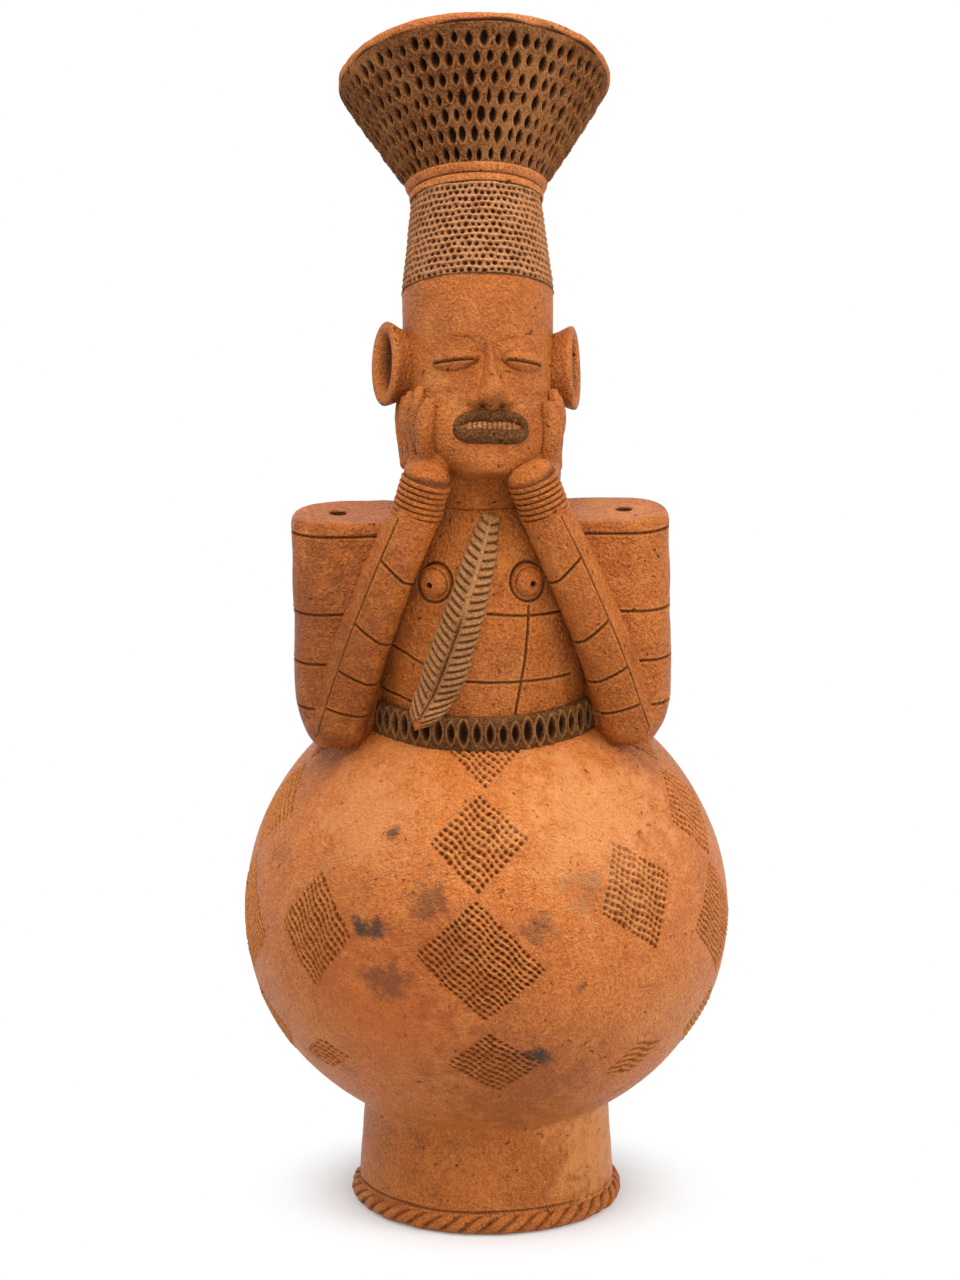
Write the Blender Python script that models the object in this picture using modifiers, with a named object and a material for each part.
"""A hand-built terracotta vessel: a globe on a foot, and a figure that leans on it, chin in hands.

The pot is put together from clay pieces that are luted with slip, so each piece is a solid of its own
and the slip is a thin gap. The throat runs from the flared headdress down through head, neck and torso
into the globe. The figure's front is -Y and up is +Z; left and right are the figure's own, so its left
is +X. Lengths are in metres. The origin is the middle of the foot's base.
"""

import math

import bmesh
import bpy
import numpy as np
from mathutils import Matrix, Vector

MM = 0.001
SLIP = 0.3 * MM                        # luting gap between two clay pieces
EMBED = 3.0 * MM                       # how deep an applied piece starts inside what carries it
SIDES = (("left", 1), ("right", -1))
RIGHT = Vector((1, 0, 0))
BACK = Vector((0, 1, 0))
UP = Vector((0, 0, 1))

# Foot
FOOT_RADIUS = 52.0 * MM                # flat base, outside
FOOT_TOP_RADIUS = 49.0 * MM            # where its wall meets the globe
FOOT_WALL = 8.0 * MM
FOOT_CURVE = 1.6                       # how late the wall turns out to the base
ROPE_RADIUS = 4.0 * MM                 # coil round the foot's edge
ROPE_SUNK = 0.3                        # share of the coil's radius that is pressed flat on the foot
ROPE_OPEN = math.radians(52.0)         # how far round the coil its lobes are pressed
ROPE_LOBES = 44
ROPE_LEAN = 0.6                        # share of a lobe's pitch that it slants by
ROPE_NOTCH = 0.9 * MM
ROPE_CLEARANCE = 0.4 * MM              # coil above the standing plane

# Globe
GLOBE_RADIUS = 98.2 * MM
GLOBE_LOWER_DEPTH = 89.0 * MM          # centre down to the bottom, which is flatter than a sphere
GLOBE_CENTRE_HEIGHT = 120.0 * MM
GLOBE_WALL = 7.0 * MM

# Torso, in the figure's frame: its origin is the globe's centre and its Z axis is the spine
FIGURE_LEAN = math.radians(7.0)        # forward
FIGURE_ROLL = math.radians(0.8)        # towards the figure's right
TORSO_RADIUS = 44.5 * MM               # at the seat on the globe
TORSO_HEIGHT = 86.7 * MM               # seat to neckline
TORSO_WALL = 7.5 * MM
NECK_RADIUS = 26.5 * MM
NECK_HEIGHT = 14.0 * MM
NECK_WAIST = 0.6 * MM
THROAT_RADIUS = 17.5 * MM

# Belt of pressed leaves
BELT_HEIGHT = 10.0 * MM
BELT_THICKNESS = 4.0 * MM
BELT_BEVEL = 1.0 * MM
BELT_LEAVES = 60
BELT_DENT = 1.7 * MM

# Arms
SHOULDER_DROP = 6.5 * MM               # neckline down to the shoulders' flat tops
SHOULDER_REACH = 74.0 * MM             # spine to the outer face of the arm
SHOULDER_ROUND = 3.0 * MM
SHOULDER_DEPTH = 38.0 * MM
UPPER_ARM_WIDTH = 35.0 * MM
VENT_RADIUS = 3.4 * MM                 # firing vent in each shoulder
VENT_DEPTH = 24.0 * MM
VENT_INSET = 18.0 * MM                 # from the arm's outer face
ELBOW_SPREAD = 57.0 * MM               # spine to the elbow's middle
ELBOW_FORWARD = 23.0 * MM
ELBOW_RADIUS = 11.5 * MM
WRIST_SPREAD = 24.5 * MM
WRIST_FORWARD = 31.0 * MM
WRIST_RISE = 1.5 * MM                  # wrist's lower end above the neckline
WRIST_RADIUS = 9.6 * MM
WRIST_LENGTH = 18.0 * MM
WRIST_GROOVES = 5
WRIST_GROOVE_DEPTH = 0.8 * MM
WRIST_TURN_IN = 6.0 * MM               # how far the wrist leans to the chin
FOREARM_BULGE = 4.0 * MM
SQUARISH = 2.6                         # power of the arms' superellipse sections; 2 is round

# Breasts and pendant, on the torso
BREAST_RADIUS = 6.6 * MM
BREAST_RISE = 4.4 * MM
BREAST_HEIGHT = 61.0 * MM              # above the torso's seat
BREAST_ANGLE = math.radians(28.0)
NIPPLE_RADIUS = 1.1 * MM
NIPPLE_DEPTH = 1.8 * MM
FEATHER_TOP = 86.0 * MM                # above the torso's seat
FEATHER_TIP = 8.5 * MM
FEATHER_TOP_SIDE = 4.0 * MM            # offsets to the figure's left, along the surface
FEATHER_TIP_SIDE = -23.0 * MM
FEATHER_HALF_WIDTH = 9.3 * MM
FEATHER_RISE = 2.6 * MM
FEATHER_BARBS = 15
FEATHER_BARB_RISE = 0.8 * MM

# Head, in its own frame: the origin is the neck's top and Z is the head's axis
HEAD_TILT = math.radians(28.0)         # back from the spine
HEAD_TURN = math.radians(8.0)          # towards the figure's left
HEAD_HEIGHT = 67.0 * MM                # neck's top to hairline
HEAD_RADIUS = 29.8 * MM
CHIN_DROP = 13.0 * MM                  # below the neck's top, along the head's axis
CHIN_REACH = 36.0 * MM
JAW_SQUARENESS = 2.2                   # power of the jaw's superellipse sections; 2 is round
NOSE_WIDTH = 19.0 * MM
NOSE_RISE = 10.0 * MM
EYE_HALF_LENGTH = 9.4 * MM
EYE_HALF_HEIGHT = 5.2 * MM
EYE_RISE = 3.8 * MM
EYE_ANGLE = math.radians(25.0)
LID_GAP = 0.9 * MM
MOUTH_HALF_WIDTH = 14.5 * MM
UPPER_LIP_RADIUS = 2.6 * MM
LOWER_LIP_RADIUS = 3.0 * MM
LIP_POINTS = 11
LIP_CURVE = 5.0                        # how late the lips close towards the corners
LIP_CORNER = 0.35                      # share of a lip's radius left at the corners
LIP_PARTING = 1.2 * MM                 # half the gap that the teeth show in
TEETH = 10
TEETH_SPAN = 0.66                      # share of the mouth's width
TOOTH_RISE = 0.9 * MM
TOOTH_GROOVE = 0.4                     # share of that rise left between two teeth
EAR_HALF_HEIGHT = 17.0 * MM
EAR_HALF_DEPTH = 11.5 * MM
EAR_REACH = 9.5 * MM
EAR_WALL = 3.0 * MM
EAR_HEIGHT = 37.0 * MM                 # above the neck's top
EAR_ANGLE = math.radians(90.0)         # round the head from the front
EAR_FORWARD = math.radians(20.0)       # the cup looks this far to the front

# Hands, on the head
FINGERS = 4
FINGER_RADIUS = 3.5 * MM
FINGER_SHAPE = ((0.0, 1.0), (0.5, 1.05), (0.9, 0.78), (1.0, 0.35))   # way along, share of radius
FINGER_TIP_HEIGHT = 22.0 * MM
FINGER_ROOT_HEIGHT = -3.0 * MM
FINGER_ROOT_ANGLE = math.radians(56.0) # of the first finger, round the head from the front
FINGER_ROOT_STEP = math.radians(7.0)
FINGER_TIP_ANGLE = math.radians(53.0)
FINGER_TIP_STEP = math.radians(14.0)
THUMB_RADIUS = 3.9 * MM
THUMB_ANGLE = math.radians(50.0)
THUMB_TURN = math.radians(10.0)
THUMB_SHARE = 0.85                     # thumb's length to a finger's
THUMB_DROP = 0.12                      # how much lower it starts, as a share of a finger
PALM_ANGLE = math.radians(58.0)
PALM_HALF_WIDTH = 12.5 * MM
PALM_HALF_LENGTH = 11.0 * MM
PALM_HALF_THICKNESS = 5.5 * MM
HEEL_RADIUS = 8.2 * MM                 # of the hand, on the wrist

# Headdress
TOWER_HEIGHT = 37.6 * MM
TOWER_TOP_RADIUS = 25.6 * MM
COLLAR_TILT = math.radians(2.0)        # back from the head's axis
RIM_TILT = math.radians(8.0)           # back from the collar
COLLAR_HEIGHT = 5.0 * MM
COLLAR_RADIUS = 26.4 * MM
FLARE_HEIGHT = 42.4 * MM
FLARE_TOP_RADIUS = 53.0 * MM
FLARE_WALL = 6.0 * MM
LEAF_ROWS = 7                          # staggered leaves pressed into the flare
LEAVES_IN_ROW = 32
LEAF_DENT = 1.7 * MM
RIM_HEIGHT = 5.0 * MM
RIM_BULGE = 1.2 * MM

# Faceting
GLOBE_STEPS = 40                       # a multiple of four, so that the width is the same both ways
GLOBE_POINTS = 11                      # from a pole to the widest ring
HOLLOW_STEPS = 24
HOLLOW_POINTS = 7
FOOT_POINTS = 4
RIM_STEPS = 32
COLUMN_STEPS = 26
SMALL_STEPS = 12
TORSO_POINTS = 9
SKULL_RINGS = 9
JAW_STEPS = 18
BALL_STEPS = 11
CUT_MARGIN = 20.0 * MM                 # how far a cutter runs past what it cuts

# Finishes: bare clay, and clay darkened by slip and smoke
CLAY = ((0.56, 0.24, 0.10), 0.62)
DARK_CLAY = ((0.19, 0.12, 0.08), 0.72)

# Places that follow from the sizes above
TORSO_SEAT = math.sqrt(GLOBE_RADIUS ** 2 - TORSO_RADIUS ** 2)
NECKLINE = TORSO_SEAT + TORSO_HEIGHT
NECK_TOP = NECKLINE + NECK_HEIGHT
SHOULDER_TOP = NECKLINE - SHOULDER_DROP
ELBOW_REACH = GLOBE_RADIUS + ELBOW_RADIUS * 0.9
ELBOW = Vector((ELBOW_SPREAD, -ELBOW_FORWARD,
                math.sqrt(ELBOW_REACH ** 2 - ELBOW_SPREAD ** 2 - ELBOW_FORWARD ** 2)))
WRIST_START = Vector((WRIST_SPREAD, -WRIST_FORWARD, NECKLINE + WRIST_RISE))
FACE_LENGTH = HEAD_HEIGHT + CHIN_DROP
BROW_HEIGHT = HEAD_HEIGHT - FACE_LENGTH / 3
NOSE_BASE_HEIGHT = HEAD_HEIGHT - FACE_LENGTH * 2 / 3
MOUTH_HEIGHT = NOSE_BASE_HEIGHT - FACE_LENGTH / 9
EYE_HEIGHT = BROW_HEIGHT - EYE_HALF_HEIGHT * 1.5


# Scene and placing

def start_scene():
    """Empty the scene and return the collections for the parts and for the cutters."""
    for item in list(bpy.data.objects):
        bpy.data.objects.remove(item, do_unlink=True)
    made = []
    for name in ("anthropomorphic_vessel", "cutters"):
        collection = bpy.data.collections.new(name)
        bpy.context.scene.collection.children.link(collection)
        made.append(collection)
    return made


PARTS, CUTTERS = start_scene()


def frame(name, parent, matrix):
    """An empty that other pieces are placed in."""
    empty = bpy.data.objects.new(name, None)
    PARTS.objects.link(empty)
    empty.parent = parent
    empty.matrix_basis = matrix
    return empty


def add(name, mesh, parent, matrix=None):
    """A new object in the parts' collection."""
    item = bpy.data.objects.new(name, mesh)
    PARTS.objects.link(item)
    item.parent = parent
    if matrix is not None:
        item.matrix_basis = matrix
    return item


def as_cutter(item):
    """Keep an object as a cutter or a guide only."""
    PARTS.objects.unlink(item)
    CUTTERS.objects.link(item)
    item.hide_render = True
    item.display_type = "WIRE"
    return item


def finish(item, look):
    """Smooth shading and a clay of the piece's own."""
    colour, roughness = look
    clay = bpy.data.materials.new(item.name + "_clay")
    clay.use_nodes = True
    shader = clay.node_tree.nodes["Principled BSDF"]
    shader.inputs["Base Color"].default_value = (*colour, 1.0)
    shader.inputs["Roughness"].default_value = roughness
    shader.inputs["Metallic"].default_value = 0.0
    item.data.materials.append(clay)
    item.data.shade_smooth()
    return item


# Modelling tools

def turned(name, profile, steps, parent=None, closed=False, matrix=None):
    """A profile of (radius, height) pairs, outer side from the top down, turned about Z."""
    mesh = bpy.data.meshes.new(name)
    edges = [(i, i + 1) for i in range(len(profile) - 1)]
    if closed:
        edges.append((len(profile) - 1, 0))
    mesh.from_pydata([(radius, 0.0, height) for radius, height in profile], edges, [])
    item = add(name, mesh, parent, matrix)
    screw = item.modifiers.new("Turn", "SCREW")
    screw.steps = steps
    screw.render_steps = steps
    screw.use_merge_vertices = True
    screw.merge_threshold = 1e-5
    return item


def loft(name, rings, parent, around=False, matrix=None):
    """Skin rings of equally many points; with around, the last ring meets the first."""
    shape = bmesh.new()
    rows = [[shape.verts.new(point) for point in ring] for ring in rings]
    pairs = list(zip(rows, rows[1:]))
    if around:
        pairs.append((rows[-1], rows[0]))
    for low, high in pairs:
        for i in range(len(low)):
            k = (i + 1) % len(low)
            shape.faces.new((low[i], low[k], high[k], high[i]))
    if not around:
        shape.faces.new(list(reversed(rows[0])))
        shape.faces.new(rows[-1])
    bmesh.ops.recalc_face_normals(shape, faces=shape.faces)
    mesh = bpy.data.meshes.new(name)
    shape.to_mesh(mesh)
    shape.free()
    return add(name, mesh, parent, matrix)


def ball(name, half_sizes, parent, matrix):
    """A sphere squeezed to three half sizes, its poles along local X."""
    shape = bmesh.new()
    squeeze = matrix @ Matrix.Diagonal((*half_sizes, 1.0)) @ Matrix.Rotation(math.pi / 2, 4, "Y")
    bmesh.ops.create_uvsphere(shape, u_segments=BALL_STEPS, v_segments=BALL_STEPS * 2 // 3, radius=1.0,
                              matrix=squeeze)
    mesh = bpy.data.meshes.new(name)
    shape.to_mesh(mesh)
    shape.free()
    return add(name, mesh, parent)


def block(name, low, high, parent):
    """A box between two corners."""
    shape = bmesh.new()
    middle = (Vector(low) + Vector(high)) / 2
    size = Vector(high) - Vector(low)
    bmesh.ops.create_cube(shape, size=1.0, matrix=Matrix.Translation(middle) @ Matrix.Diagonal((*size, 1.0)))
    mesh = bpy.data.meshes.new(name)
    shape.to_mesh(mesh)
    shape.free()
    return as_cutter(add(name, mesh, parent))


def baked(item):
    """Swap a curve or a stack of modifiers for its plain mesh, caps welded."""
    bpy.context.view_layer.update()
    seen = item.evaluated_get(bpy.context.evaluated_depsgraph_get())
    mesh = bpy.data.meshes.new_from_object(seen)
    shape = bmesh.new()
    shape.from_mesh(mesh)
    bmesh.ops.remove_doubles(shape, verts=shape.verts, dist=1e-6)
    bmesh.ops.recalc_face_normals(shape, faces=shape.faces)
    shape.to_mesh(mesh)
    shape.free()
    name = item.name
    parent = item.parent
    matrix = item.matrix_basis.copy()
    bpy.data.objects.remove(item)
    return add(name, mesh, parent, matrix)


def tube(name, points, radii, parent):
    """A round coil through the points, with a radius at each, as a mesh."""
    curve = bpy.data.curves.new(name, "CURVE")
    curve.dimensions = "3D"
    curve.bevel_depth = 1.0
    curve.bevel_resolution = 2
    curve.use_fill_caps = True
    spline = curve.splines.new("POLY")
    spline.points.add(len(points) - 1)
    for knot, point, radius in zip(spline.points, points, radii):
        knot.co = (*point, 1.0)
        knot.radius = radius
    return baked(add(name, curve, parent))


def boolean(item, other, operation="DIFFERENCE", solver="EXACT"):
    """Cut an object by another, or join the other to it."""
    step = item.modifiers.new(operation.title(), "BOOLEAN")
    step.operation = operation
    step.object = other
    step.solver = solver


def joined(item, others, solver="EXACT"):
    """One mesh from several overlapping shapes."""
    for other in others:
        boolean(item, as_cutter(other), "UNION", solver)
    whole = baked(item)
    for other in others:
        bpy.data.objects.remove(other)
    return whole


def grown(item):
    """A copy of a shape, larger by the luting gap, to cut its neighbours with."""
    copy = item.copy()
    copy.name = item.name + "_seat"
    for collection in list(copy.users_collection):
        collection.objects.unlink(copy)
    PARTS.objects.link(copy)
    swell = copy.modifiers.new("Slip", "DISPLACE")
    swell.mid_level = 0.0
    swell.strength = SLIP
    return as_cutter(copy)


def seat(item, neighbours):
    """Cut a piece to its neighbours, with the luting gap between."""
    for neighbour in neighbours:
        boolean(item, neighbour)
    return item


def oval(centre, across, along, half_across, half_along, points, power=2.0):
    """A ring of points on a superellipse in the plane of two unit vectors."""
    ring = []
    for i in range(points):
        turn = 2 * math.pi * i / points
        cosine = math.cos(turn)
        sine = math.sin(turn)
        reach = (abs(cosine) ** power + abs(sine) ** power) ** (-1 / power)
        ring.append(centre + across * (half_across * reach * cosine) + along * (half_along * reach * sine))
    return ring


def spread(low, high, count):
    """Evenly spaced values with both ends."""
    return [low + (high - low) * i / (count - 1) for i in range(count)]


def facing(point, outward):
    """A matrix at a point whose Z looks outward and whose Y leans upwards."""
    z_axis = outward.normalized()
    x_axis = UP.cross(z_axis).normalized()
    y_axis = z_axis.cross(x_axis)
    matrix = Matrix((x_axis, y_axis, z_axis)).transposed().to_4x4()
    matrix.translation = point
    return matrix


# Frames: the figure leans on the globe, the head leans back, the flare further back

FIGURE = frame("figure_frame", None,
               Matrix.Translation((0, 0, GLOBE_CENTRE_HEIGHT))
               @ Matrix.Rotation(-FIGURE_ROLL, 4, "Y") @ Matrix.Rotation(FIGURE_LEAN, 4, "X"))
HEAD = frame("head_frame", FIGURE,
             Matrix.Translation((0, 0, NECK_TOP))
             @ Matrix.Rotation(-HEAD_TILT, 4, "X") @ Matrix.Rotation(HEAD_TURN, 4, "Z"))
COLLAR = frame("collar_frame", HEAD,
               Matrix.Translation((0, 0, HEAD_HEIGHT + TOWER_HEIGHT)) @ Matrix.Rotation(-COLLAR_TILT, 4, "X"))
RIM = frame("rim_frame", COLLAR,
            Matrix.Translation((0, 0, COLLAR_HEIGHT + FLARE_HEIGHT)) @ Matrix.Rotation(-RIM_TILT, 4, "X"))


# Globe and foot

def globe_profile(shrink, points):
    """Half outline of the globe, pole to pole: a round upper half and a flatter lower one."""
    radius = GLOBE_RADIUS - shrink
    depth = GLOBE_LOWER_DEPTH - shrink
    upper = [(radius * math.sin(turn), radius * math.cos(turn))
             for turn in spread(0, math.pi / 2, points)]
    lower = [(radius * math.sin(turn), depth * math.cos(turn))
             for turn in spread(math.pi / 2, math.pi, points)]
    return upper + lower[1:]


def make_globe():
    """The globe as a solid shape, its seat for neighbours, and the hollow bowl."""
    centre = Matrix.Translation((0, 0, GLOBE_CENTRE_HEIGHT))
    outline = globe_profile(0.0, GLOBE_POINTS)
    solid = as_cutter(turned("globe_shape", outline, GLOBE_STEPS, matrix=centre))
    hollow = as_cutter(turned("globe_hollow", globe_profile(GLOBE_WALL, HOLLOW_POINTS), HOLLOW_STEPS,
                              matrix=centre))
    mouth_radius = TORSO_RADIUS - TORSO_WALL
    mouth_bottom = TORSO_SEAT - GLOBE_WALL - CUT_MARGIN
    mouth = as_cutter(turned("globe_mouth", [(0, GLOBE_RADIUS + CUT_MARGIN),
                                             (mouth_radius, GLOBE_RADIUS + CUT_MARGIN),
                                             (mouth_radius, mouth_bottom), (0, mouth_bottom)],
                             COLUMN_STEPS, FIGURE))
    bowl = turned("globe_bowl", outline, GLOBE_STEPS, matrix=centre)
    boolean(bowl, hollow)
    boolean(bowl, mouth)
    finish(bowl, CLAY)
    return grown(solid)


def below_globe(radius):
    """Height at which a wall of this radius meets the globe from below, with the luting gap."""
    share = radius / (GLOBE_RADIUS + SLIP)
    return GLOBE_CENTRE_HEIGHT - (GLOBE_LOWER_DEPTH + SLIP) * math.sqrt(1 - share ** 2)


def above_globe(radius):
    """Height along the spine at which a wall of this radius meets the globe, with the luting gap."""
    return math.sqrt((GLOBE_RADIUS + SLIP) ** 2 - radius ** 2)


def make_foot():
    """Flared ring under the globe, open below."""
    top = below_globe(FOOT_TOP_RADIUS)
    inner_top = FOOT_TOP_RADIUS - FOOT_WALL
    flare = FOOT_RADIUS - FOOT_TOP_RADIUS
    outside = [(FOOT_RADIUS - flare * part ** FOOT_CURVE, top * part)
               for part in spread(1.0, 0.0, FOOT_POINTS)]
    inside = [(radius - FOOT_WALL, height) for radius, height in reversed(outside[1::2])]
    inside.append((inner_top, below_globe(inner_top)))
    finish(turned("foot_ring", outside + inside, GLOBE_STEPS, closed=True), CLAY)


def make_rope():
    """Coil round the foot's edge, flat against the foot and pressed into slanting lobes outside."""
    steps = ROPE_LOBES * 2
    lean = 2 * math.pi / ROPE_LOBES * ROPE_LEAN / (2 * ROPE_OPEN)
    inner = FOOT_RADIUS + SLIP
    middle = inner - ROPE_RADIUS * ROPE_SUNK
    height = ROPE_CLEARANCE + ROPE_RADIUS
    half_flat = math.sqrt(ROPE_RADIUS ** 2 - (inner - middle) ** 2)
    sections = []
    for i in range(steps):
        turn = 2 * math.pi * i / steps
        radius = ROPE_RADIUS - ROPE_NOTCH * (i % 2)
        outline = [(inner, height - half_flat, turn)]
        for side in spread(-ROPE_OPEN, ROPE_OPEN, 3):
            outline.append((middle + radius * math.cos(side), height + radius * math.sin(side),
                            turn + lean * side))
        outline.append((inner, height + half_flat, turn))
        sections.append([(reach * math.cos(way), reach * math.sin(way), level)
                         for reach, level, way in outline])
    finish(loft("foot_rope_edge", sections, None, around=True), CLAY)


# Torso, neck and what is luted on them

def torso_radius(height):
    """Radius of the torso at a height above its seat on the globe."""
    return TORSO_RADIUS - (TORSO_RADIUS - NECK_RADIUS) * (max(height, 0.0) / TORSO_HEIGHT) ** 3


def torso_point(side, height, lift):
    """Point on the torso: side is the way round from the front along the surface, in metres."""
    radius = torso_radius(height)
    turn = side / radius
    reach = radius + lift
    return Vector((reach * math.sin(turn), -reach * math.cos(turn), TORSO_SEAT + height))


def make_torso():
    """Hollow chest, open to the globe below and to the neck above; returns its seat."""
    levels = spread(TORSO_HEIGHT, 0.0, TORSO_POINTS)
    outside = [(torso_radius(level), TORSO_SEAT + level) for level in levels[:-1]]
    inner = TORSO_RADIUS - TORSO_WALL
    inside = [(inner, above_globe(inner))]
    for level in reversed(levels[:-1:2]):
        inside.append((max(torso_radius(level) - TORSO_WALL, THROAT_RADIUS), TORSO_SEAT + level))
    rim = (TORSO_RADIUS, above_globe(TORSO_RADIUS))
    finish(turned("torso", outside + [rim] + inside, COLUMN_STEPS, FIGURE, closed=True), CLAY)
    deep = TORSO_SEAT - EMBED * 2
    solid = [(0, NECKLINE)] + outside + [(TORSO_RADIUS, deep), (0, deep)]
    return grown(as_cutter(turned("torso_shape", solid, COLUMN_STEPS, FIGURE)))


def make_neck():
    """Short hollow column between torso and head."""
    middle = (NECKLINE + NECK_TOP) / 2
    outside = [(NECK_RADIUS, NECK_TOP), (NECK_RADIUS - NECK_WAIST, middle), (NECK_RADIUS, NECKLINE + SLIP)]
    inside = [(THROAT_RADIUS, NECKLINE + SLIP), (THROAT_RADIUS, NECK_TOP)]
    neck = turned("neck", outside + inside, COLUMN_STEPS, FIGURE, closed=True)
    finish(neck, CLAY)
    solid = [(0, NECK_TOP)] + outside + [(0, NECKLINE + SLIP)]
    return grown(as_cutter(turned("neck_shape", solid, COLUMN_STEPS, FIGURE)))


def make_belt():
    """Applied band over the joint of torso and globe, pressed with upright leaves; returns its seat."""
    steps = BELT_LEAVES * 2
    inner = TORSO_RADIUS + SLIP
    outer = TORSO_RADIUS + BELT_THICKNESS
    inner_bottom = above_globe(inner)
    outer_bottom = above_globe(outer)
    top = TORSO_SEAT + BELT_HEIGHT
    sections = []
    for i in range(steps):
        turn = 2 * math.pi * i / steps
        pressed = outer - BELT_DENT * (i % 2)
        outline = [(inner, inner_bottom), (outer, outer_bottom), (pressed, (outer_bottom + top) / 2),
                   (outer - BELT_BEVEL, top), (inner, top)]
        sections.append([(reach * math.cos(turn), reach * math.sin(turn), height)
                         for reach, height in outline])
    finish(loft("waist_belt", sections, FIGURE, around=True), DARK_CLAY)
    clear = [(0, top + SLIP), (outer + SLIP, top + SLIP), (outer + SLIP, outer_bottom - CUT_MARGIN),
             (0, outer_bottom - CUT_MARGIN)]
    return as_cutter(turned("belt_seat", clear, BELT_LEAVES, FIGURE))


def make_feather(seats):
    """Plume laid slantwise over the chest: a leaf with a midrib and slanting barbs."""
    rows = FEATHER_BARBS * 2 + 1
    run = Vector((FEATHER_TIP_SIDE - FEATHER_TOP_SIDE, FEATHER_TIP - FEATHER_TOP))
    across = Vector((-run.y, run.x)).normalized()
    slant = 1.0 / FEATHER_BARBS
    rings = []
    for i in range(rows):
        part = i / (rows - 1)
        ridge = FEATHER_BARB_RISE * (i % 2)
        half = FEATHER_HALF_WIDTH * (0.45 + 0.55 * math.sin(math.pi * min(part / 1.3, 0.5)))
        half *= math.sqrt(max(1 - max(part - 0.6, 0.0) / 0.4, 0.01))
        top = []
        for share in (-1.0, -0.5, 0.0, 0.5, 1.0):
            along = min(max(part + slant * (abs(share) - 0.5), 0.0), 1.0)
            side = FEATHER_TOP_SIDE + run.x * along + across.x * half * share
            height = FEATHER_TOP + run.y * along + across.y * half * share
            lift = FEATHER_RISE * (1 - 0.7 * share * share) + (ridge if share else -FEATHER_BARB_RISE)
            top.append((side, height, lift))
        ring = [torso_point(side, height, lift) for side, height, lift in top]
        ring += [torso_point(side, height, -EMBED) for side, height, lift in (top[4], top[2], top[0])]
        rings.append(ring)
    feather = loft("feather_pendant", rings, FIGURE)
    seat(feather, seats)
    finish(feather, DARK_CLAY)


def make_breasts(torso_seat):
    """Pellets with a pricked hole."""
    profile = [(0, BREAST_RISE - NIPPLE_DEPTH), (NIPPLE_RADIUS * 0.8, BREAST_RISE - NIPPLE_DEPTH)]
    for turn in spread(NIPPLE_RADIUS / BREAST_RADIUS, math.pi / 2, 5):
        profile.append((BREAST_RADIUS * math.sin(turn), BREAST_RISE * math.cos(turn)))
    profile += [(BREAST_RADIUS, -EMBED), (0, -EMBED)]
    seats = []
    for name, side in SIDES:
        place = torso_point(side * BREAST_ANGLE * torso_radius(BREAST_HEIGHT), BREAST_HEIGHT, 0.0)
        outward = Vector((place.x, place.y, 0))
        breast = turned(name + "_breast", profile, SMALL_STEPS, FIGURE, matrix=facing(place, outward))
        seats.append(grown(breast))
        seat(breast, [torso_seat])
        finish(breast, CLAY)
    return seats


# Arms

def forearm_line(side):
    """Points from the elbow on the globe to the wrist, a little bowed, and the wrist's direction."""
    wrist_way = Vector((-WRIST_TURN_IN, 0, WRIST_LENGTH)).normalized()
    middle = (ELBOW + WRIST_START) / 2 + Vector((FOREARM_BULGE, -FOREARM_BULGE, 0))
    line = []
    for part in spread(0.0, 1.0, 7):
        line.append(ELBOW * (1 - part) ** 2 + middle * (2 * part * (1 - part)) + WRIST_START * part ** 2)
    flip = Matrix.Diagonal((side, 1, 1))
    return [flip @ point for point in line], flip @ wrist_way


def make_forearm(name, side, seats):
    """Coil of clay, squarish in section, from the elbow up to the wrist."""
    line, wrist_way = forearm_line(side)
    rings = []
    last = len(line) - 1
    for i, point in enumerate(line):
        along = (line[min(i + 1, last)] - line[max(i - 1, 0)]).normalized()
        if i == last:
            along = wrist_way
        across = along.cross(-BACK).normalized()
        inward = along.cross(across)
        half = ELBOW_RADIUS + (WRIST_RADIUS - ELBOW_RADIUS) * i / last
        if i == 0:
            for back, share in ((0.75, 0.45), (0.5, 0.8)):
                tip = half * share
                rings.append(oval(point - along * half * back, across, inward, tip, tip, SMALL_STEPS))
        rings.append(oval(point, across, inward, half, half, SMALL_STEPS, SQUARISH))
    forearm = loft(name + "_forearm", rings, FIGURE)
    seat(forearm, seats)
    finish(forearm, CLAY)
    return grown(forearm)


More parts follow.
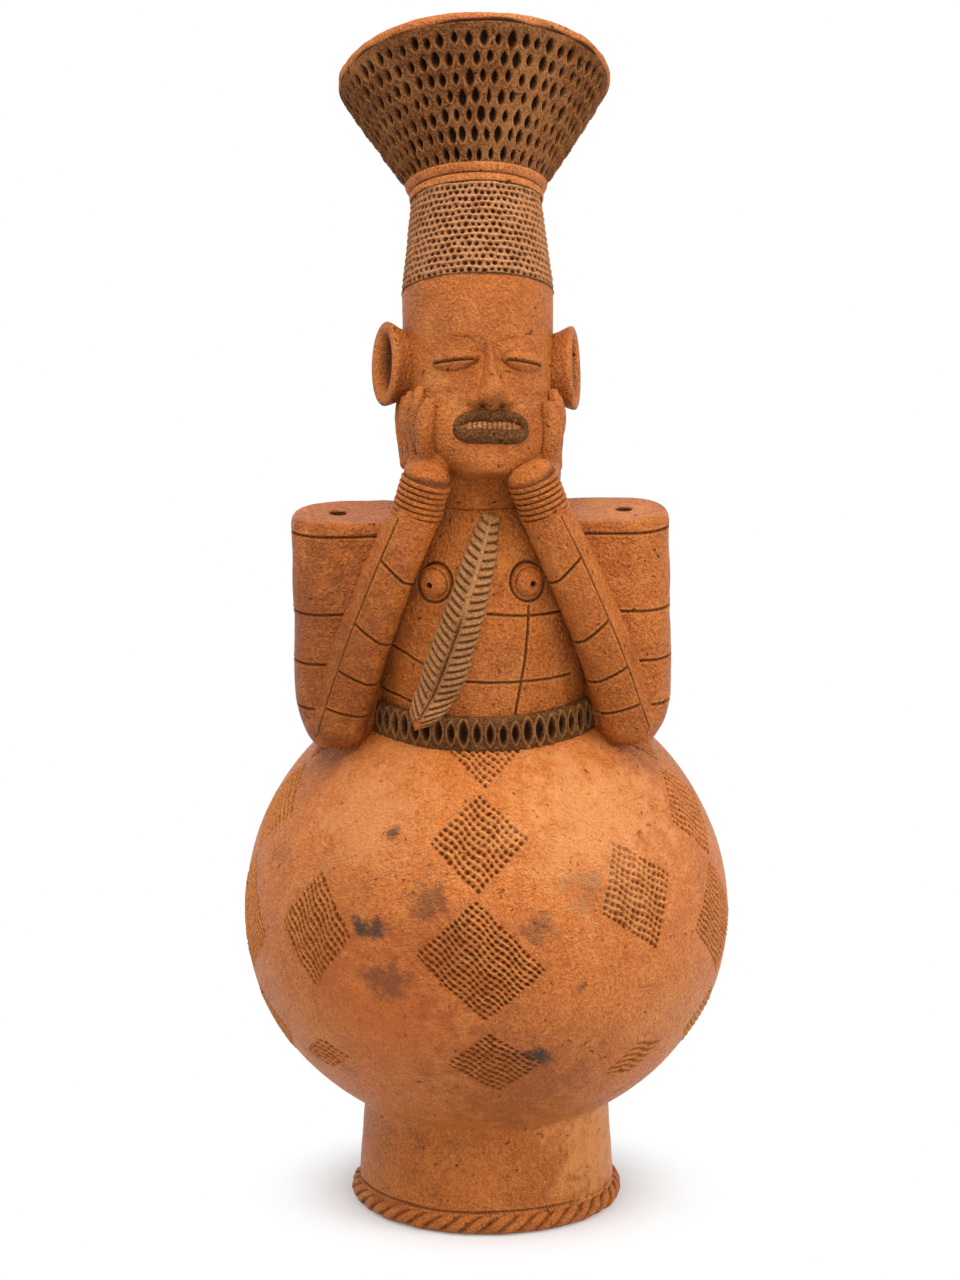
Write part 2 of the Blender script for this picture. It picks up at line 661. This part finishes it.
def make_upper_arm(name, side, seats):
    """Flat-topped shoulder and upper arm, down to the elbow, with the firing vent in its top."""
    bottom = ELBOW.z - ELBOW_RADIUS
    levels = (SHOULDER_TOP, SHOULDER_TOP - SHOULDER_ROUND, 0.7, 0.45, 0.25, 0.1, 0.02)
    rings = []
    for i, level in enumerate(levels):
        height = level
        part = 1.0
        if i > 1:
            part = level
            height = bottom + (SHOULDER_TOP - bottom) * part
        inset = SHOULDER_ROUND if i == 0 else 0.0
        rounding = UPPER_ARM_WIDTH / 2 * (1 - math.sqrt(1 - max(0.25 - part, 0.0) ** 2 * 12))
        outer = SHOULDER_REACH - inset - rounding
        inner = SHOULDER_REACH - UPPER_ARM_WIDTH + rounding - max(part - 0.45, 0.0) * UPPER_ARM_WIDTH
        half_depth = SHOULDER_DEPTH / 2 - inset - rounding * 0.6
        centre = Vector((side * (outer + inner) / 2, -ELBOW_FORWARD * (1 - part) * 0.6, height))
        rings.append(oval(centre, RIGHT * side, BACK, (outer - inner) / 2, half_depth, SMALL_STEPS, SQUARISH))
    arm = loft(name + "_upper_arm", rings, FIGURE)
    vent_at = Matrix.Translation((side * (SHOULDER_REACH - VENT_INSET), 0, SHOULDER_TOP))
    vent = turned(name + "_vent", [(0, CUT_MARGIN), (VENT_RADIUS, CUT_MARGIN), (VENT_RADIUS, -VENT_DEPTH),
                                   (0, -VENT_DEPTH)], SMALL_STEPS, FIGURE, matrix=vent_at)
    seat(arm, seats)
    boolean(arm, as_cutter(vent))
    finish(arm, CLAY)


def make_bracelets(name, side, seats):
    """Grooved wrist with a round top that the chin and the hand rest on."""
    line, wrist_way = forearm_line(side)
    grooved = WRIST_LENGTH * 0.8
    profile = [(0, WRIST_LENGTH), (WRIST_RADIUS * 0.6, WRIST_LENGTH - WRIST_RADIUS * 0.12)]
    for i in range(WRIST_GROOVES * 2 + 1):
        dip = WRIST_GROOVE_DEPTH * (i % 2)
        profile.append((WRIST_RADIUS - dip, SLIP + grooved * (1 - i / (WRIST_GROOVES * 2))))
    profile.append((0, SLIP))
    wrist = turned(name + "_bracelets", profile, SMALL_STEPS, FIGURE, matrix=facing(line[-1], wrist_way))
    seat(wrist, seats)
    finish(wrist, CLAY)
    return grown(wrist)


# Head

def skull_size(height):
    """Half width and half depth of the head's column at a height above the neck."""
    share = min(max(height / HEAD_HEIGHT, 0.0), 1.0)
    radius = NECK_RADIUS + (HEAD_RADIUS - NECK_RADIUS) * math.sin(share * math.pi / 2)
    return radius, radius + 0.6 * MM * math.sin(share * math.pi)


JAW_SHARES = (
    # height along the face from the chin, half width, front reach, half depth, as shares
    (0.00, 0.34, 0.93, 0.30),
    (0.05, 0.52, 0.99, 0.42),
    (0.13, 0.72, 1.00, 0.53),
    (0.24, 0.86, 0.99, 0.62),
    (0.36, 0.91, 0.955, 0.65),
    (0.50, 0.86, 0.905, 0.60),
    (0.66, 0.66, 0.84, 0.45),
)


def jaw_size(height):
    """Half width, centre and half depth of the jaw's oval at a height above the neck."""
    share = (height + CHIN_DROP) / FACE_LENGTH
    steps = np.array(JAW_SHARES)
    half_width = np.interp(share, steps[:, 0], steps[:, 1]) * HEAD_RADIUS
    front = np.interp(share, steps[:, 0], steps[:, 2]) * CHIN_REACH
    half_depth = np.interp(share, steps[:, 0], steps[:, 3]) * CHIN_REACH
    return half_width, front - half_depth, half_depth


def face_point(angle, height, lift):
    """Point over the face: angle round from the front to the figure's left, height above the neck."""
    sine = math.sin(angle)
    cosine = math.cos(angle)
    half_width, half_depth = skull_size(height)
    reach = ((sine / half_width) ** 2 + (cosine / half_depth) ** 2) ** -0.5
    half_width, centre, half_depth = jaw_size(height)
    square = (sine / half_width) ** 2 + (cosine / half_depth) ** 2
    middle = cosine * centre / half_depth ** 2
    rest = middle ** 2 - square * ((centre / half_depth) ** 2 - 1)
    if rest > 0 and height < HEAD_HEIGHT * 0.6:
        reach = max(reach, (middle + math.sqrt(rest)) / square)
    return Vector(((reach + lift) * sine, -(reach + lift) * cosine, height))


def face_frame(angle, height, lift):
    """Matrix on the face with Z outward, X across and Y up the face."""
    step = 1.0 * MM
    place = face_point(angle, height, lift)
    round_way = face_point(angle + 0.05, height, lift) - face_point(angle - 0.05, height, lift)
    up_way = face_point(angle, height + step, lift) - face_point(angle, height - step, lift)
    outward = round_way.cross(up_way).normalized()
    x_axis = round_way.normalized()
    matrix = Matrix((x_axis, outward.cross(x_axis), outward)).transposed().to_4x4()
    matrix.translation = place
    return matrix


def skull(name, bottom, extra):
    """Column of the head from the hairline down, larger all round by extra."""
    rings = []
    for height in spread(HEAD_HEIGHT + extra, bottom, SKULL_RINGS):
        half_width, half_depth = skull_size(height)
        rings.append(oval(UP * height, RIGHT, BACK, half_width + extra, half_depth + extra, COLUMN_STEPS))
    return loft(name, rings, HEAD)


def jaw(name, extra):
    """Cheeks, mouth and chin in front of the skull, larger all round by extra."""
    rings = []
    for share, *_ in reversed(JAW_SHARES):
        height = share * FACE_LENGTH - CHIN_DROP
        half_width, centre, half_depth = jaw_size(height)
        if share == 0:
            height -= extra
        rings.append(oval(Vector((0, -centre, height)), RIGHT, BACK, half_width + extra, half_depth + extra,
                          JAW_STEPS, JAW_SQUARENESS))
    return loft(name, rings, HEAD)


def make_head():
    """Skull and jaw in one, cut level on the neck, with the throat through it along the head's axis."""
    head = joined(skull("head", -CHIN_DROP - CUT_MARGIN, 0.0), [jaw("head_jaw", 0.0)])
    wide = HEAD_RADIUS + CHIN_REACH
    floor_low = (-wide, -wide, NECKLINE - CUT_MARGIN * 2)
    boolean(head, block("head_floor", floor_low, (wide, wide, NECK_TOP + SLIP), FIGURE))
    throat = turned("throat", [(0, HEAD_HEIGHT + CUT_MARGIN), (THROAT_RADIUS, HEAD_HEIGHT + CUT_MARGIN),
                               (THROAT_RADIUS, -CUT_MARGIN * 2), (0, -CUT_MARGIN * 2)], COLUMN_STEPS, HEAD)
    boolean(head, as_cutter(throat))
    finish(head, CLAY)
    return [as_cutter(skull("skull_seat", -CHIN_DROP, SLIP)), as_cutter(jaw("jaw_seat", SLIP))]


def make_nose(seats):
    """Straight ridge that widens to a rounded tip and wings."""
    stations = ((1.02, 0.20, 0.10), (0.80, 0.24, 0.36), (0.50, 0.34, 0.66), (0.26, 0.58, 0.92),
                (0.10, 0.92, 1.00), (-0.03, 0.94, 0.78), (-0.10, 0.62, 0.35))
    run = BROW_HEIGHT - NOSE_BASE_HEIGHT
    rings = []
    for share, width, rise in stations:
        height = NOSE_BASE_HEIGHT + run * share
        half = NOSE_WIDTH / 2 * width
        ring = []
        for part in spread(-1.0, 1.0, 9):
            angle = part * half / HEAD_RADIUS
            bridge = max(1 - (abs(part) / 0.72) ** 1.8, 0.0)
            wing = 0.52 * width ** 3 * math.exp(-((abs(part) - 0.68) / 0.24) ** 2)
            ring.append(face_point(angle, height, NOSE_RISE * rise * max(bridge, wing)))
        ring += [face_point(part * half / HEAD_RADIUS, height, -EMBED) for part in (1.0, 0.0, -1.0)]
        rings.append(ring)
    nose = loft("nose", rings, HEAD)
    seat(nose, seats)
    finish(nose, CLAY)
    return grown(nose)


def make_eyes(seats):
    """Closed lids, like a coffee bean: a swelling with a slit along it."""
    for name, side in SIDES:
        place = face_frame(side * EYE_ANGLE, EYE_HEIGHT, 0.0)
        eye = ball(name + "_eye", (EYE_HALF_LENGTH, EYE_HALF_HEIGHT, EYE_RISE), HEAD, place)
        slit_place = place @ Matrix.Translation((0, -EYE_HALF_HEIGHT * 0.15, EYE_RISE))
        slit = ball(name + "_slit", (EYE_HALF_LENGTH * 0.85, LID_GAP / 2, EYE_RISE * 0.45), HEAD, slit_place)
        boolean(eye, as_cutter(slit))
        seat(eye, seats)
        finish(eye, CLAY)


def lip_place(part, radius):
    """Distance of a lip's middle from the mouth's line, and its radius, part of the way to a corner."""
    share = 1 - abs(part) ** LIP_CURVE
    return (radius + LIP_PARTING) * share, radius * (LIP_CORNER + (1 - LIP_CORNER) * math.sqrt(share))


def make_lip(name, radius, way):
    """One lip as a coil on the face, above the mouth's line or below it."""
    points = []
    radii = []
    for part in spread(-1.0, 1.0, LIP_POINTS):
        rise, thickness = lip_place(part, radius)
        points.append(face_point(part * MOUTH_HALF_WIDTH / CHIN_REACH, MOUTH_HEIGHT + rise * way, 0.0))
        radii.append(thickness)
    return tube(name, points, radii, HEAD)


def make_mouth(seats):
    """Two full lips with an even row of teeth between them."""
    upper = make_lip("upper_lip", UPPER_LIP_RADIUS, 1)
    upper_seat = grown(upper)
    seat(upper, seats)
    finish(upper, DARK_CLAY)
    lower = make_lip("lower_lip", LOWER_LIP_RADIUS, -1)
    seat(lower, [*seats, upper_seat])
    finish(lower, DARK_CLAY)
    rings = []
    for i, part in enumerate(spread(-TEETH_SPAN, TEETH_SPAN, TEETH * 2 + 1)):
        angle = part * MOUTH_HALF_WIDTH / CHIN_REACH
        edges = []
        for radius, way in ((UPPER_LIP_RADIUS, 1), (LOWER_LIP_RADIUS, -1)):
            rise, thickness = lip_place(part, radius)
            edges.append(MOUTH_HEIGHT + way * (rise - thickness - SLIP))
        top, bottom = edges
        lift = TOOTH_RISE * (1.0 if i % 2 else TOOTH_GROOVE)
        rings.append([face_point(angle, top, lift), face_point(angle, bottom, lift),
                      face_point(angle, bottom, -EMBED), face_point(angle, top, -EMBED)])
    teeth = loft("teeth", rings, HEAD)
    seat(teeth, seats)
    finish(teeth, CLAY)


def make_ear(name, side, seats):
    """Hollow oval cup at the side of the head."""
    root = face_point(side * EAR_ANGLE, EAR_HEIGHT, 0.0)
    look = EAR_ANGLE - EAR_FORWARD
    outward = Vector((side * math.sin(look), -math.cos(look), 0))
    across = UP.cross(outward)
    stations = ((-EMBED * 2, 4.0 * MM), (EAR_REACH * 0.35, 2.2 * MM), (EAR_REACH * 0.9, 0.0),
                (EAR_REACH, EAR_WALL * 0.4), (EAR_REACH * 0.9, EAR_WALL), (EAR_REACH * 0.3, EAR_WALL * 2.0))
    rings = []
    for reach, inset in stations:
        rings.append(oval(root + outward * reach, across, UP, EAR_HALF_DEPTH - inset, EAR_HALF_HEIGHT - inset,
                          SMALL_STEPS))
    ear = loft(name + "_ear", rings, HEAD)
    seat(ear, seats)
    finish(ear, CLAY)
    return grown(ear)


def make_hand(name, side, seats):
    """Heel on the wrist, palm under the jaw, four fingers fanned up the cheek, the thumb before them."""
    palm_place = face_frame(side * PALM_ANGLE, FINGER_ROOT_HEIGHT - PALM_HALF_LENGTH * 0.4, 0.0)
    palm = ball(name + "_hand", (PALM_HALF_WIDTH, PALM_HALF_LENGTH, PALM_HALF_THICKNESS), HEAD, palm_place)
    line, wrist_way = forearm_line(side)
    heel = HEAD.matrix_basis.inverted() @ (line[-1] + wrist_way * (WRIST_LENGTH + HEEL_RADIUS * 0.3))
    run = palm_place.translation - heel
    start = run.normalized() * HEEL_RADIUS
    points = [heel - start * 0.95, heel - start * 0.6, heel, heel + run]
    radii = [HEEL_RADIUS * 0.3, HEEL_RADIUS * 0.8, HEEL_RADIUS, PALM_HALF_LENGTH * 0.8]
    pieces = [tube(name + "_heel", points, radii, HEAD)]
    rise = FINGER_TIP_HEIGHT - FINGER_ROOT_HEIGHT
    for i in range(FINGERS):
        root = FINGER_ROOT_ANGLE + FINGER_ROOT_STEP * i
        fan = FINGER_TIP_ANGLE + FINGER_TIP_STEP * i - root
        points = [face_point(side * (root + fan * part), FINGER_ROOT_HEIGHT + rise * part,
                             FINGER_RADIUS * 0.7)
                  for part, share in FINGER_SHAPE]
        radii = [FINGER_RADIUS * share for part, share in FINGER_SHAPE]
        pieces.append(tube(f"{name}_finger_{i}", points, radii, HEAD))
    points = [face_point(side * (THUMB_ANGLE - THUMB_TURN * part),
                         FINGER_ROOT_HEIGHT + rise * (THUMB_SHARE * part - THUMB_DROP), THUMB_RADIUS * 0.7)
              for part, share in FINGER_SHAPE]
    pieces.append(tube(name + "_thumb", points, [THUMB_RADIUS * share for part, share in FINGER_SHAPE], HEAD))
    hand = joined(palm, pieces, "MANIFOLD")    # where EXACT leaves a skin that the seats fail to cut
    seat(hand, seats)
    finish(hand, CLAY)


# Headdress

def make_headdress():
    """Tower of hair and the plain collar on it."""
    start = HEAD_HEIGHT + SLIP
    top = HEAD_HEIGHT + TOWER_HEIGHT
    slope = (HEAD_RADIUS - TOWER_TOP_RADIUS) / TOWER_HEIGHT
    over = COLLAR_HEIGHT
    outside = [(TOWER_TOP_RADIUS - slope * over, top + over), (TOWER_TOP_RADIUS, top),
               (HEAD_RADIUS - slope * TOWER_HEIGHT / 3, HEAD_HEIGHT + TOWER_HEIGHT / 3), (HEAD_RADIUS, start)]
    inside = [(THROAT_RADIUS, start), (THROAT_RADIUS, top + over)]
    tower = turned("hair_tower", outside + inside, COLUMN_STEPS, HEAD, closed=True)
    wide = FLARE_TOP_RADIUS
    boolean(tower, block("above_tower", (-wide, -wide, -SLIP), (wide, wide, CUT_MARGIN), COLLAR))
    finish(tower, DARK_CLAY)

    soft = COLLAR_RADIUS - TOWER_TOP_RADIUS
    outside = [(COLLAR_RADIUS - soft, COLLAR_HEIGHT), (COLLAR_RADIUS, COLLAR_HEIGHT * 0.75),
               (COLLAR_RADIUS, COLLAR_HEIGHT * 0.3), (COLLAR_RADIUS - soft, 0)]
    inside = [(THROAT_RADIUS, 0), (THROAT_RADIUS, COLLAR_HEIGHT)]
    finish(turned("hair_collar", outside + inside, COLUMN_STEPS, COLLAR, closed=True), CLAY)


def make_flare():
    """Funnel whose top edge is tipped further back than its root, pressed with leaves, and its lip."""
    columns = LEAVES_IN_ROW * 2
    root = Matrix.Translation((0, 0, COLLAR_HEIGHT + SLIP))
    top = RIM.matrix_basis
    inner_root = Matrix.Translation((0, 0, COLLAR_HEIGHT + SLIP + FLARE_WALL))

    def level_ring(place, radius):
        return [place @ point for point in oval(Vector(), RIGHT, BACK, radius, radius, columns)]

    high = level_ring(top, FLARE_TOP_RADIUS)
    low = level_ring(root, COLLAR_RADIUS)
    high_pressed = level_ring(top, FLARE_TOP_RADIUS - LEAF_DENT)
    low_pressed = level_ring(root, COLLAR_RADIUS - LEAF_DENT)
    rings = [high]
    for row in range(LEAF_ROWS):
        part = (row + 0.5) / LEAF_ROWS
        plain = [a.lerp(b, part) for a, b in zip(high, low)]
        pressed = [a.lerp(b, part) for a, b in zip(high_pressed, low_pressed)]
        rings.append([pressed[i] if (i + row) % 2 else plain[i] for i in range(columns)])
    rings += [low, level_ring(root, THROAT_RADIUS), level_ring(inner_root, COLLAR_RADIUS - FLARE_WALL / 2),
              level_ring(top, FLARE_TOP_RADIUS - FLARE_WALL)]
    finish(loft("hair_flare", rings, COLLAR, around=True), DARK_CLAY)

    outer = FLARE_TOP_RADIUS + RIM_BULGE
    inner = FLARE_TOP_RADIUS - FLARE_WALL
    outside = [(outer - FLARE_WALL / 2, RIM_HEIGHT), (outer - RIM_BULGE, RIM_HEIGHT * 0.8),
               (outer, RIM_HEIGHT * 0.5), (FLARE_TOP_RADIUS, SLIP)]
    inside = [(inner, SLIP), (inner, RIM_HEIGHT * 0.75)]
    finish(turned("mouth_rim", outside + inside, RIM_STEPS, RIM, closed=True), CLAY)


def build():
    """Make every piece, from the foot up, each cut to the ones that carry it."""
    globe_seat = make_globe()
    make_foot()
    make_rope()
    torso_seat = make_torso()
    neck_seat = make_neck()
    belt_seat = make_belt()
    breast_seats = make_breasts(torso_seat)
    make_feather([torso_seat, belt_seat, *breast_seats])
    head_seats = make_head()
    nose_seat = make_nose(head_seats)
    make_eyes([*head_seats, nose_seat])
    make_mouth([*head_seats, nose_seat])
    for name, side in SIDES:
        ear_seat = make_ear(name, side, head_seats)
        forearm_seat = make_forearm(name, side, [globe_seat, torso_seat, belt_seat, *breast_seats])
        make_upper_arm(name, side, [globe_seat, torso_seat, belt_seat, neck_seat, forearm_seat])
        wrist_seat = make_bracelets(name, side, head_seats)
        make_hand(name, side, [*head_seats, neck_seat, ear_seat, wrist_seat])
    make_headdress()
    make_flare()


build()
